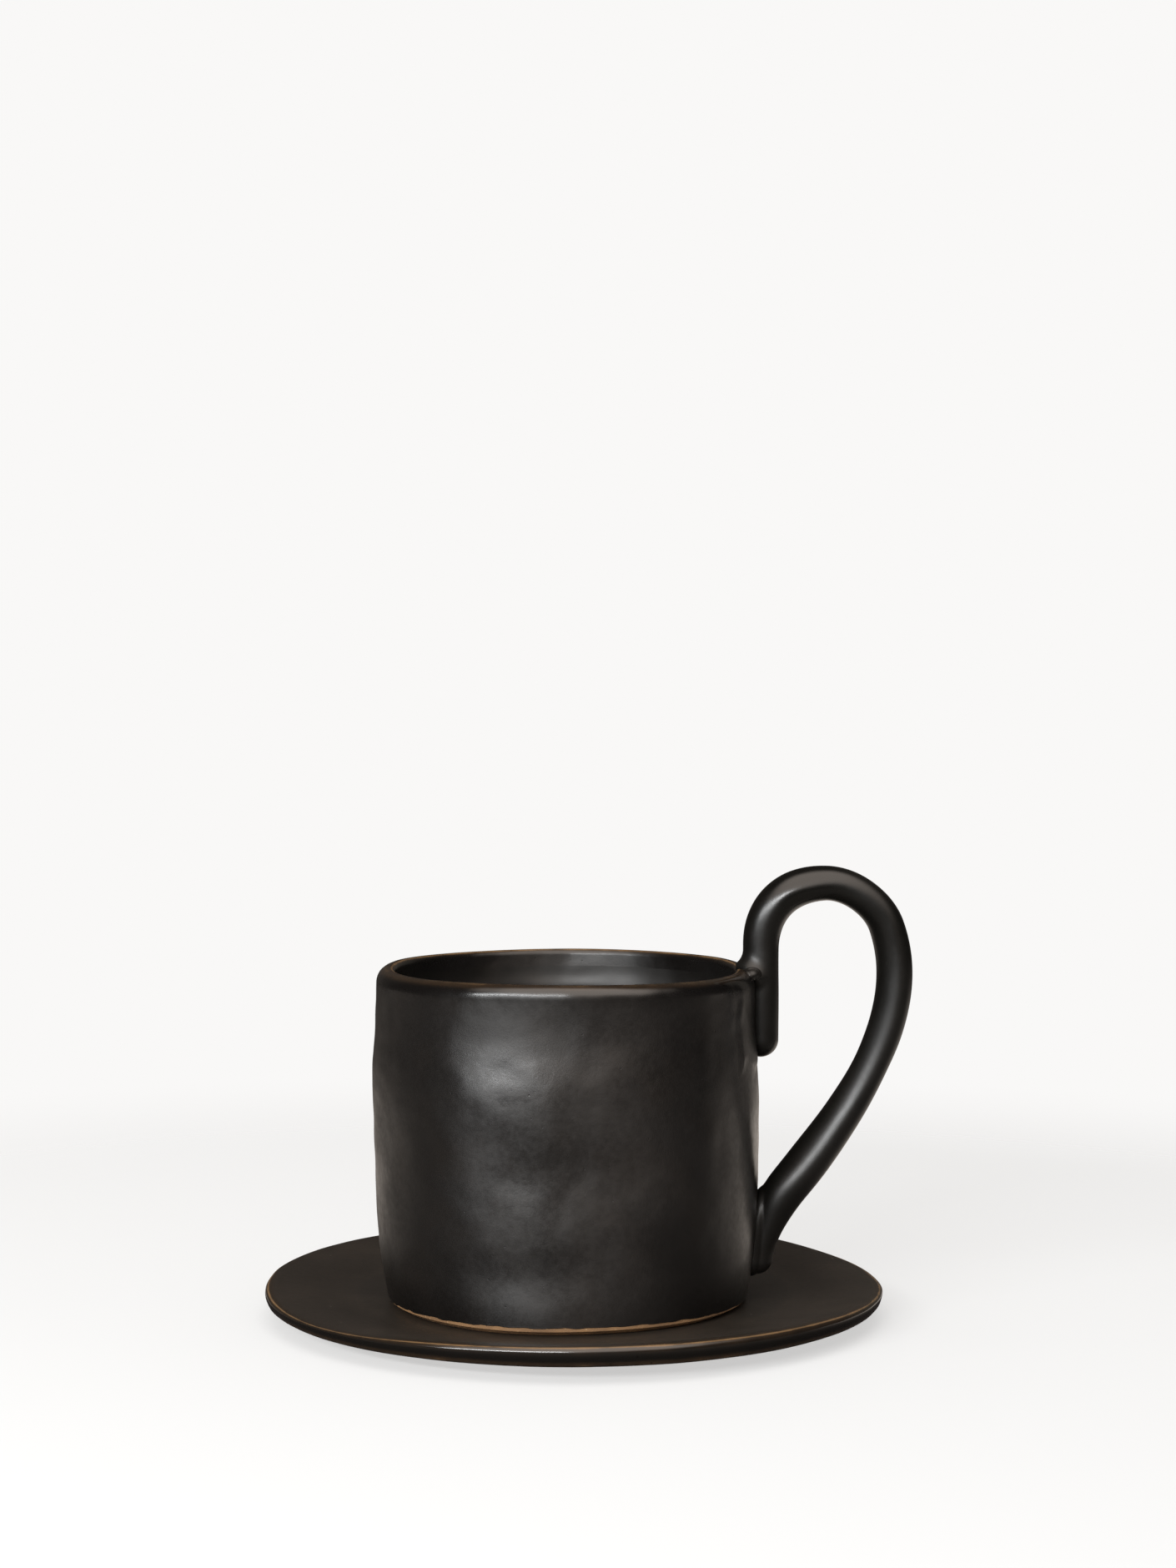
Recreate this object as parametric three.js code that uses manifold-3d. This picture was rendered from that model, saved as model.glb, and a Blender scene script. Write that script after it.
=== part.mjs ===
// A stoneware mug with a looped coil handle, standing on its round saucer. Millimetres, +Z up.
// The origin is on the table under the middle of the saucer, and the handle points along +X.
import * as THREE from 'three';
import { mergeVertices } from 'three/addons/utils/BufferGeometryUtils.js';
import Module from 'manifold-3d';

const wasm = await Module();
wasm.setup();

// Saucer: a plate with a flat seat, a gently rising border and a rounded edge, on a low foot. The seat
// lies in a shallow well, and reaches a margin beyond the foot of the mug.
const saucerRadius = 75;
const saucerThickness = 5;
const saucerRise = 2;
const wellDepth = 1.2;
const seatMargin = 1;
const saucerFootRadius = 46;
const saucerFootHeight = 1.5;
const seatHeight = saucerFootHeight + saucerThickness - wellDepth;

// Where the mug stands on the saucer.
const cupOffsetX = -2;
const cupOffsetY = -9;

// Cup: heights are above its own foot, radii are of the outside.
const cupHeight = 80;
const footRadius = 42.6;
const footFlare = 2.6;
const footCurveHeight = 11.2;
const bellyRadius = 46.6;
const bellyHeight = 47.2;
const bellyEase = 22;
const rimRadius = 45.4;
const shoulderEase = 14;
const wallThickness = 4.5;
const rimWave = 0.3;
const rimHighAngle = 80;

// Base slab: a bare band under the wall, a plug inside it and a shallow hollow underneath.
const footBandHeight = 2.1;
const footEdgeRound = 0.9;
const floorThickness = 5;
const footHollowRadius = 34;
const footHollowDepth = 0.8;

// Handle coil: its tail hangs down the wall from the rim, its loop stands over the rim, and its foot is
// pressed on the wall near the base. Stand-offs are from the outside of the wall to the coil's middle.
const coilRadius = 4.3;
const crotchRadius = 4.8;
const footTipRadius = 3.6;
const tailStandOff = 0.4;
const tailDrop = 21.6;
const loopRadius = 15.5;
const loopRise = 4.8;
const loopEndAngle = 20;
const limbPull = 22;
const crotchHeight = 27;
const crotchStandOff = 7.8;
const crotchLean = 39;
const crotchPull = 24;
const footBend = 6;
const footTipHeight = 9.8;
const footTipStandOff = 1.6;
const footTipPull = 7;

// Slip that joins the coil to the wall: a collar round each end of the coil, and a bead on the rim.
const luteWidth = 2;
const luteThickness = 1.4;
const beadRadius = 2;
const beadSide = 5;
const beadDrop = 0.8;
const seatGap = 0.3;

// Thumb and finger marks in the wall: angle from the handle in degrees, height of the middle, depth, and
// how far the mark spreads round the wall and up it.
const pressMarks = [
  { angle: 276, height: 43.2, depth: 3, across: 22, up: 36 },
  { angle: 259, height: 68.2, depth: 1.4, across: 24, up: 10 },
  { angle: 246, height: 87.2, depth: 0.9, across: 14, up: 12 },
  { angle: 262, height: 37.2, depth: 0.7, across: 24, up: 8 },
  { angle: 257, height: 13.2, depth: 0.8, across: 22, up: 6 },
  { angle: 256, height: 1.2, depth: -1.5, across: 22, up: 8 },
  { angle: 180, height: 35.2, depth: 0.9, across: 20, up: 14 },
  { angle: 350, height: 1.2, depth: -1, across: 34, up: 14 },
  { angle: 352, height: 67.2, depth: 0.6, across: 18, up: 14 },
  { angle: 86, height: 43.2, depth: 0.9, across: 26, up: 50 },
  { angle: 112, height: 27.2, depth: 0.5, across: 20, up: 10 },
  { angle: 66, height: 61.2, depth: 0.4, across: 18, up: 12 },
];

// How finely the round shapes are divided. The rim takes an even number, so that a point lies on its top.
const aroundSteps = 60;
const outlineSteps = 7;
const rimSteps = 6;
const borderSteps = 4;
const edgeSteps = 6;
const coilSteps = 46;
const coilSides = 16;
const capSteps = 4;
const beadSides = 12;
const weldDistance = 0.001;

const glaze = { color: 0x1d1b1a, roughness: 0.45, metalness: 0 };
const bareClay = { color: 0x8a6f54, roughness: 0.85, metalness: 0 };

// Points of an arc, from one angle to another, both in degrees.
function arcPoints(centreX, centreY, radius, from, to, steps) {
  const points = [];
  for (let i = 0; i <= steps; i++) {
    const angle = THREE.MathUtils.degToRad(from + (to - from) * i / steps);
    points.push(new THREE.Vector2(centreX + radius * Math.cos(angle), centreY + radius * Math.sin(angle)));
  }
  return points;
}

// Turns a profile of radius and height about the upright axis.
function turned(profile) {
  return new THREE.LatheGeometry(profile, aroundSteps).rotateX(Math.PI / 2);
}

// How far the hands have pressed the wall in at an angle round the cup and a height.
function pressDepth(angle, height) {
  let depth = 0;
  for (const mark of pressMarks) {
    const turn = angle - THREE.MathUtils.degToRad(mark.angle);
    const aside = bellyRadius * Math.atan2(Math.sin(turn), Math.cos(turn)) / mark.across;
    const along = (height - mark.height) / mark.up;
    depth += mark.depth * Math.exp(-aside * aside - along * along);
  }
  return depth;
}

// Gives a turned cup piece its hand-formed unevenness. The axis itself stays where it is.
function pressed(geometry) {
  const position = geometry.attributes.position;
  for (let i = 0; i < position.count; i++) {
    const x = position.getX(i);
    const y = position.getY(i);
    const height = position.getZ(i);
    const radius = Math.hypot(x, y);
    if (radius < wallThickness) continue;
    const angle = Math.atan2(y, x);
    const scale = 1 - pressDepth(angle, height) / radius;
    const fromHigh = angle - THREE.MathUtils.degToRad(rimHighAngle);
    const wave = rimWave * Math.cos(2 * fromHigh) * THREE.MathUtils.smoothstep(height, bellyHeight, cupHeight);
    position.setXYZ(i, x * scale, y * scale, height + wave);
  }
  return geometry;
}

// The outside of the wall, from its seat on the base slab to where the rim starts to round over.
function wallOutline(grow) {
  const shoulder = cupHeight - wallThickness / 2;
  const outline = new THREE.Path();
  outline.moveTo(footRadius + grow, footBandHeight);
  outline.bezierCurveTo(footRadius + footFlare + grow, footCurveHeight,
    bellyRadius + grow, bellyHeight - bellyEase, bellyRadius + grow, bellyHeight);
  outline.bezierCurveTo(bellyRadius + grow, bellyHeight + shoulderEase,
    rimRadius + grow, shoulder - shoulderEase, rimRadius + grow, shoulder);
  return outline.getPoints(outlineSteps);
}

// Radius of the outside of the wall at a height, before it is pressed.
function wallRadiusAt(height) {
  const points = wallOutline(0);
  const above = Math.max(1, points.findIndex((point) => point.y >= height));
  const [low, high] = [points[above - 1], points[above]];
  return THREE.MathUtils.mapLinear(height, low.y, high.y, low.x, high.x);
}

function rimArc(grow) {
  const round = wallThickness / 2;
  return arcPoints(rimRadius - round, cupHeight - round, round + grow, 0, 180, rimSteps);
}

function wallGeometry() {
  const outside = wallOutline(0);
  const inside = wallOutline(-wallThickness).reverse();
  const profile = [...outside, ...rimArc(0).slice(1, -1), ...inside, outside[0]];
  return pressed(turned(profile));
}

// The cup as if it were full, from a height up, grown on the outside: it cuts seats that follow the wall.
function filledCup(grow, bottom) {
  const profile = [
    new THREE.Vector2(0, bottom),
    new THREE.Vector2(footRadius + grow, bottom),
    ...wallOutline(grow).slice(1),
    ...rimArc(grow).slice(1, rimSteps / 2 + 1),
    new THREE.Vector2(0, cupHeight + grow),
  ];
  return pressed(turned(profile));
}

function floorGeometry() {
  const plugLow = footRadius - wallThickness - seatGap;
  const plugHigh = wallRadiusAt(floorThickness) - wallThickness - seatGap;
  const profile = [
    new THREE.Vector2(0, footHollowDepth),
    new THREE.Vector2(footHollowRadius, footHollowDepth),
    new THREE.Vector2(footHollowRadius + footHollowDepth, 0),
    new THREE.Vector2(footRadius - footEdgeRound, 0),
    new THREE.Vector2(footRadius, footEdgeRound),
    new THREE.Vector2(footRadius, footBandHeight),
    new THREE.Vector2(plugLow, footBandHeight),
    new THREE.Vector2(plugHigh, floorThickness),
    new THREE.Vector2(0, floorThickness),
  ];
  return pressed(turned(profile));
}

// The middle line of the coil, from the end of its tail to the tip of its foot, in the X-Z plane.
function coilPath() {
  const tailX = wallRadiusAt(cupHeight - tailDrop) + tailStandOff;
  const loopZ = cupHeight + loopRise;
  const loopEnd = THREE.MathUtils.degToRad(loopEndAngle);
  const limbTop = new THREE.Vector2(Math.cos(loopEnd), Math.sin(loopEnd)).multiplyScalar(loopRadius)
    .add(new THREE.Vector2(tailX + loopRadius, loopZ));
  const outOfLoop = new THREE.Vector2(Math.sin(loopEnd), -Math.cos(loopEnd)).multiplyScalar(limbPull).add(limbTop);
  const crotch = new THREE.Vector2(wallRadiusAt(crotchHeight) + crotchStandOff, crotchHeight);
  const tip = new THREE.Vector2(wallRadiusAt(footTipHeight) + footTipStandOff, footTipHeight);
  const lean = THREE.MathUtils.degToRad(crotchLean);
  const upLimb = new THREE.Vector2(Math.sin(lean), Math.cos(lean));
  const intoCrotch = crotch.clone().addScaledVector(upLimb, crotchPull);
  const outOfCrotch = crotch.clone().addScaledVector(upLimb, -footBend);
  const path = new THREE.Path();
  path.moveTo(tailX, cupHeight - tailDrop + coilRadius);
  path.lineTo(tailX, loopZ);
  path.absarc(tailX + loopRadius, loopZ, loopRadius, Math.PI, loopEnd, true);
  path.bezierCurveTo(outOfLoop.x, outOfLoop.y, intoCrotch.x, intoCrotch.y, crotch.x, crotch.y);
  path.bezierCurveTo(outOfCrotch.x, outOfCrotch.y, tip.x, tip.y + footTipPull, tip.x, tip.y);
  return path;
}

// Middle points, directions and radii along the coil, with a round cap at each end.
function coilStations(grow) {
  const path = coilPath();
  const [, loopLength, crotchLength, fullLength] = path.getCurveLengths();
  const stations = [];
  for (let i = 0; i <= coilSteps; i++) {
    const share = i / coilSteps;
    const swell = THREE.MathUtils.smoothstep(share * fullLength, loopLength, crotchLength);
    const taper = THREE.MathUtils.smoothstep(share * fullLength, crotchLength, fullLength);
    const swollen = THREE.MathUtils.lerp(coilRadius, crotchRadius, swell);
    const radius = THREE.MathUtils.lerp(swollen, footTipRadius, taper) + grow;
    stations.push({ middle: path.getPointAt(share), along: path.getTangentAt(share), radius });
  }
  const cap = (end, sign) => Array.from({ length: capSteps }, (_, i) => {
    const angle = (i + 1) / capSteps * Math.PI / 2;
    const middle = end.middle.clone().addScaledVector(end.along, sign * end.radius * Math.sin(angle));
    return { middle, along: end.along, radius: end.radius * Math.cos(angle) };
  });
  return [...cap(stations[0], -1).reverse(), ...stations, ...cap(stations[coilSteps], 1)];
}

// A round coil through its stations. The first and last rings shrink to a point.
function coilGeometry(grow) {
  const stations = coilStations(grow);
  const positions = [];
  const indices = [];
  for (const { middle, along, radius } of stations) {
    for (let side = 0; side < coilSides; side++) {
      const turn = side / coilSides * 2 * Math.PI;
      const aside = radius * Math.cos(turn);
      positions.push(middle.x - along.y * aside, radius * Math.sin(turn), middle.y + along.x * aside);
    }
  }
  const lastRing = stations.length - 1;
  for (let ring = 0; ring < lastRing; ring++) {
    for (let side = 0; side < coilSides; side++) {
      const here = ring * coilSides + side;
      const beside = ring * coilSides + (side + 1) % coilSides;
      if (ring > 0) indices.push(here, beside + coilSides, beside);
      if (ring < lastRing - 1) indices.push(here, here + coilSides, beside + coilSides);
    }
  }
  const geometry = new THREE.BufferGeometry();
  geometry.setAttribute('position', new THREE.Float32BufferAttribute(positions, 3));
  geometry.setIndex(indices);
  return geometry;
}

function toSolid(geometry) {
  geometry.deleteAttribute('normal');
  geometry.deleteAttribute('uv');
  const merged = mergeVertices(geometry, weldDistance);
  const vertProperties = Float32Array.from(merged.attributes.position.array);
  const triVerts = Uint32Array.from(merged.index.array);
  return new wasm.Manifold(new wasm.Mesh({ numProp: 3, vertProperties, triVerts }));
}

function toGeometry(solid) {
  const mesh = solid.getMesh();
  const geometry = new THREE.BufferGeometry();
  geometry.setAttribute('position', new THREE.Float32BufferAttribute(mesh.vertProperties, 3));
  geometry.setIndex(new THREE.BufferAttribute(mesh.triVerts, 1));
  return geometry;
}

function handleGeometry() {
  return toGeometry(toSolid(coilGeometry(0)).subtract(toSolid(filledCup(seatGap, 0))));
}

// The slip collars lie on the wall all round the coil's two ends. The upper one carries the rim bead.
function luteGeometries() {
  const cup = toSolid(filledCup(seatGap, 0));
  const onWall = toSolid(filledCup(seatGap + luteThickness, footBandHeight)).subtract(cup);
  const coilRoom = toSolid(coilGeometry(seatGap));
  const beadPlace = [rimRadius, -beadSide, cupHeight - beadDrop];
  const bead = toSolid(new THREE.SphereGeometry(beadRadius, beadSides, beadSides / 2).translate(...beadPlace));
  const collars = onWall.intersect(toSolid(coilGeometry(luteWidth))).subtract(coilRoom);
  const [lower, upper] = collars.decompose().sort((a, b) => a.boundingBox().max[2] - b.boundingBox().max[2]);
  const beaded = upper.add(bead).subtract(cup).subtract(coilRoom);
  return { upper: toGeometry(beaded), lower: toGeometry(lower) };
}

function saucerPlateGeometry() {
  const round = saucerThickness / 2;
  const edge = saucerRadius - round;
  const seatRadius = footRadius + Math.hypot(cupOffsetX, cupOffsetY) + seatMargin;
  const underRadius = seatRadius - saucerThickness;
  const border = (from, low, high) => {
    const path = new THREE.Path();
    path.moveTo(from, low);
    path.quadraticCurveTo((from + edge) / 2, low, edge, high);
    return path.getPoints(borderSteps);
  };
  const profile = [
    new THREE.Vector2(0, saucerFootHeight),
    ...border(underRadius, saucerFootHeight, saucerFootHeight + saucerRise),
    ...arcPoints(edge, saucerFootHeight + saucerRise + round, round, -90, 90, edgeSteps).slice(1, -1),
    ...border(seatRadius, seatHeight, seatHeight + wellDepth + saucerRise).reverse(),
    new THREE.Vector2(0, seatHeight),
  ];
  return turned(profile);
}

function saucerFootGeometry() {
  return new THREE.CylinderGeometry(saucerFootRadius, saucerFootRadius, saucerFootHeight, aroundSteps)
    .rotateX(Math.PI / 2).translate(0, 0, saucerFootHeight / 2);
}

function piece(name, geometry, finish) {
  const mesh = new THREE.Mesh(geometry, new THREE.MeshStandardMaterial(finish));
  mesh.name = name;
  return mesh;
}

const saucer = new THREE.Group();
saucer.add(piece('saucer_plate', saucerPlateGeometry(), glaze));
saucer.add(piece('saucer_foot', saucerFootGeometry(), bareClay));

const lutes = luteGeometries();
const mug = new THREE.Group();
mug.position.set(cupOffsetX, cupOffsetY, seatHeight);
mug.add(piece('cup_floor', floorGeometry(), bareClay));
mug.add(piece('cup_wall', wallGeometry(), glaze));
mug.add(piece('handle', handleGeometry(), glaze));
mug.add(piece('upper_lute', lutes.upper, glaze));
mug.add(piece('lower_lute', lutes.lower, glaze));

const mugWithSaucer = new THREE.Group();
mugWithSaucer.add(saucer, mug);

export default mugWithSaucer;
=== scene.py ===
import math

import bpy
from mathutils import Matrix, Vector


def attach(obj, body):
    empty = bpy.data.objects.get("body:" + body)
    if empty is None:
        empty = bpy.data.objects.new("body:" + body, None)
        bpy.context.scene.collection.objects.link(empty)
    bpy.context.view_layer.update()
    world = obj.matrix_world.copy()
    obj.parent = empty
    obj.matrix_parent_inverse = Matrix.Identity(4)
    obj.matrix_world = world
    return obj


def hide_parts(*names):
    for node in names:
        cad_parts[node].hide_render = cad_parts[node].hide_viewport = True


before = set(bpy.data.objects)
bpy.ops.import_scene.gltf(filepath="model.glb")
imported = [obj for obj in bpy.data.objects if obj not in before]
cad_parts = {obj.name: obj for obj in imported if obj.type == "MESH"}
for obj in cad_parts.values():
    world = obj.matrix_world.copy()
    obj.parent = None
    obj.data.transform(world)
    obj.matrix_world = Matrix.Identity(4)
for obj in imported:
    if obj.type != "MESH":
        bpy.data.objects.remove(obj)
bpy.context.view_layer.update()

mm = 0.001
weld = 0.000002     # points nearer to each other than this are joined


# node trees

class Wire:
    # wraps one socket, so that sums on it add Math nodes
    def __init__(self, bench, socket):
        self.bench = bench
        self.socket = socket

    def apply(self, operation, *others):
        values = dict(enumerate((self, *others)))
        return self.bench.add("ShaderNodeMath", {"operation": operation}, values)

    def side(self, name):
        return Wire(self.bench, pick(self.socket.node.outputs, name))

    def smooth(self, low, high):
        ends = {"Value": self, "From Min": low, "From Max": high}
        return self.bench.add("ShaderNodeMapRange", {"interpolation_type": "SMOOTHSTEP"}, ends)

    def __add__(self, other):
        return self.apply("ADD", other)

    def __sub__(self, other):
        return self.apply("SUBTRACT", other)

    def __rsub__(self, other):
        return (self * -1.0).apply("ADD", other)

    def __mul__(self, other):
        return self.apply("MULTIPLY", other)

    def __truediv__(self, other):
        return self.apply("DIVIDE", other)

    __radd__ = __add__
    __rmul__ = __mul__


class Bench:
    # one node tree, and the one method that puts a node in it
    def __init__(self, tree):
        self.tree = tree

    def add(self, kind, settings=None, sockets=None, out=0):
        made = self.tree.nodes.new(kind)
        for key, value in (settings or {}).items():
            setattr(made, key, value)
        for key, value in (sockets or {}).items():
            target = pick(made.inputs, key)
            if isinstance(value, Wire):
                self.tree.links.new(value.socket, target)
            else:
                target.default_value = value
        return Wire(self, pick(made.outputs, out)) if made.outputs else None


def pick(sockets, key):
    if isinstance(key, int):
        return sockets[key]
    return next(s for s in sockets if s.enabled and key in (s.name, s.identifier))


def mixed(bench, factor, first, second):
    values = {"Factor": factor, "A": first, "B": second}
    return bench.add("ShaderNodeMix", {"data_type": "RGBA"}, values, "Result")


def dot(bench, first, second):
    values = {0: first, 1: second}
    return bench.add("ShaderNodeVectorMath", {"operation": "DOT_PRODUCT"}, values, "Value")


def noise(bench, spot, scale, detail):
    values = {"Vector": spot, "Scale": scale, "Detail": detail}
    return bench.add("ShaderNodeTexNoise", {}, values)


def stored(bench, name):
    return bench.add("GeometryNodeInputNamedAttribute", {}, {"Name": name})


def distanceTo(bench, thing, spot):
    thing = bench.add("GeometryNodeObjectInfo", {}, {"Object": thing}, "Geometry")
    values = {"Geometry": thing, "Sample Position": spot}
    return bench.add("GeometryNodeProximity", {}, values, "Distance")


def pushOut(bench, mesh, outward, push):
    offset = bench.add("ShaderNodeVectorMath", {"operation": "SCALE"}, {0: outward, "Scale": push})
    return bench.add("GeometryNodeSetPosition", {}, {"Geometry": mesh, "Offset": offset})


def turnFrom(angle, degrees):
    # angle counted from another one, between half a turn back and half a turn on
    return (angle - math.radians(degrees)).apply("WRAP", math.pi, -math.pi)


def hump(value):
    # 1 at 0, falling off smoothly on both sides
    return (value * value * -1.0).apply("EXPONENT")


def linear(red, green, blue):
    # screen colour 0 to 255, as the shader counts it
    def one(value):
        value = value / 255.0
        return value / 12.92 if value <= 0.04045 else ((value + 0.055) / 1.055) ** 2.4
    return (one(red), one(green), one(blue), 1.0)


def geometryBench(name, inputs):
    tree = bpy.data.node_groups.new(name, "GeometryNodeTree")
    tree.interface.new_socket("Geometry", in_out="INPUT", socket_type="NodeSocketGeometry")
    for label, kind in inputs.items():
        tree.interface.new_socket(label, in_out="INPUT", socket_type=kind)
    tree.interface.new_socket("Geometry", in_out="OUTPUT", socket_type="NodeSocketGeometry")
    return Bench(tree)


def finishTree(bench, mesh, finish, lining=None):
    # every tree ends the same way: one closed, smooth, real mesh with its finish, and another finish inside
    mesh = bench.add("GeometryNodeMergeByDistance", {}, {"Geometry": mesh, "Distance": weld})
    mesh = bench.add("GeometryNodeSetShadeSmooth", {}, {"Geometry": mesh})
    mesh = bench.add("GeometryNodeRealizeInstances", {}, {"Geometry": mesh})
    mesh = bench.add("GeometryNodeSetMaterial", {}, {"Geometry": mesh, "Material": finish})
    if lining:
        inside = stored(bench, "inside").apply("GREATER_THAN", 0.5)
        lined = {"Geometry": mesh, "Selection": inside, "Material": lining}
        mesh = bench.add("GeometryNodeSetMaterial", {}, lined)
    bench.add("NodeGroupOutput", {}, {"Geometry": mesh})
    return bench.tree


def grow(name, seedMesh, tree, values):
    piece = bpy.data.objects.new(name, seedMesh)
    bpy.context.collection.objects.link(piece)
    modifier = piece.modifiers.new(name, "NODES")
    modifier.node_group = tree
    for item in tree.interface.items_tree:
        if item.in_out == "INPUT" and item.name in values:
            modifier[item.identifier] = values[item.name]
    bpy.context.view_layer.update()
    grown = bpy.data.meshes.new_from_object(piece.evaluated_get(bpy.context.evaluated_depsgraph_get()))
    piece.modifiers.clear()
    piece.data = grown
    grown.name = name
    return piece


# outlines in millimetres, as lists of points

def bezierPoints(start, outHandle, inHandle, end, steps):
    points = []
    for step in range(1, steps + 1):
        t = step / steps
        u = 1.0 - t
        weights = (u * u * u, 3.0 * u * u * t, 3.0 * u * t * t, t * t * t)
        corners = (start, outHandle, inHandle, end)
        points.append(tuple(sum(w * c[axis] for w, c in zip(weights, corners)) for axis in (0, 1)))
    return points


def linePoints(start, end, steps):
    return [tuple(a + (b - a) * step / steps for a, b in zip(start, end)) for step in range(1, steps + 1)]


def arcPoints(centre, width, height, fromAngle, toAngle, steps, square=2.0):
    # square 2 is an ellipse, more makes its shoulders fuller
    points = []
    for step in range(1, steps + 1):
        angle = math.radians(fromAngle + (toAngle - fromAngle) * step / steps)
        across = math.copysign(abs(math.cos(angle)) ** (2.0 / square), math.cos(angle))
        upward = math.copysign(abs(math.sin(angle)) ** (2.0 / square), math.sin(angle))
        points.append((centre[0] + width * across, centre[1] + height * upward))
    return points


def smoothStep(value, low, high):
    t = min(1.0, max(0.0, (value - low) / (high - low)))
    return t * t * (3.0 - 2.0 * t)


def crestShare(points, crests):
    # full on a crest and less away from it
    shares = []
    for x, z in points:
        share = 0.0
        for crestX, crestZ, reach, strength in crests:
            share += strength * math.exp(-((x - crestX) ** 2 + (z - crestZ) ** 2) / reach ** 2)
        shares.append(min(1.0, share))
    return shares


def outlineMesh(name, points, attributes):
    mesh = bpy.data.meshes.new(name)
    edges = [(i, i + 1) for i in range(len(points) - 1)]
    mesh.from_pydata([(x * mm, 0.0, z * mm) for x, z in points], edges, [])
    for label, values in attributes.items():
        mesh.attributes.new(label, "FLOAT", "POINT").data.foreach_set("value", values)
    return mesh


# wheel: turns an outline about an upright axis, with the hand's marks left in it

def wheelTree(name, handMarks, lined=False):
    bench = geometryBench(name, {"Around": "NodeSocketInt", "Centre": "NodeSocketVector",
                                 "Finish": "NodeSocketMaterial", "Lining": "NodeSocketMaterial"})
    outline = bench.add("NodeGroupInput", out="Geometry")
    rowCount = bench.add("GeometryNodeAttributeDomainSize", {}, {"Geometry": outline})
    sizes = {"Size X": 1.0, "Size Y": 1.0, "Vertices X": outline.side("Around") + 1.0, "Vertices Y": rowCount}
    grid = bench.add("GeometryNodeMeshGrid", {}, sizes)
    across = bench.add("ShaderNodeSeparateXYZ", {}, {"Vector": grid.side("UV Map")})
    row = (across.side("Y") * (rowCount - 1.0)).apply("ROUND")
    spot = bench.add("GeometryNodeInputPosition")
    place = bench.add("GeometryNodeSampleIndex", {"data_type": "FLOAT_VECTOR"},
                      {"Geometry": outline, "Value": spot, "Index": row})
    place = bench.add("ShaderNodeSeparateXYZ", {}, {"Vector": place})
    angle = across * (2.0 * math.pi)
    radius, height = handMarks(bench, place / mm, place.side("Z") / mm, angle)
    turned = {"X": radius * angle.apply("COSINE") * mm, "Y": radius * angle.apply("SINE") * mm,
              "Z": height * mm}
    turned = bench.add("ShaderNodeCombineXYZ", {}, turned)
    turned = bench.add("ShaderNodeVectorMath", {"operation": "ADD"}, {0: turned, 1: outline.side("Centre")})
    mesh = bench.add("GeometryNodeSetPosition", {}, {"Geometry": grid, "Position": turned})
    for label in ("thin", "sleek", "inside"):       # carried over from the outline, 0 where it has none
        share = bench.add("GeometryNodeSampleIndex", {},
                          {"Geometry": outline, "Value": stored(bench, label), "Index": row})
        mesh = bench.add("GeometryNodeStoreNamedAttribute", {},
                         {"Geometry": mesh, "Name": label, "Value": share})
    return finishTree(bench, mesh, outline.side("Finish"), outline.side("Lining") if lined else None)


def unevenness(bench, radius, height, angle, waver):
    # smooth random value about 0 at a point of the turned surface, in millimetres
    scale, seed, amount = waver
    point = {"X": radius * angle.apply("COSINE") + seed, "Y": radius * angle.apply("SINE"), "Z": height}
    point = bench.add("ShaderNodeCombineXYZ", {}, point)
    return (noise(bench, point, scale, 1.0) - 0.5) * amount


# finishes

def emptyFinish(name):
    material = bpy.data.materials.new(name)
    material.use_nodes = True
    material.node_tree.nodes.clear()
    bench = Bench(material.node_tree)
    return material, bench, bench.add("ShaderNodeTexCoord", out="Object")


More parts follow.
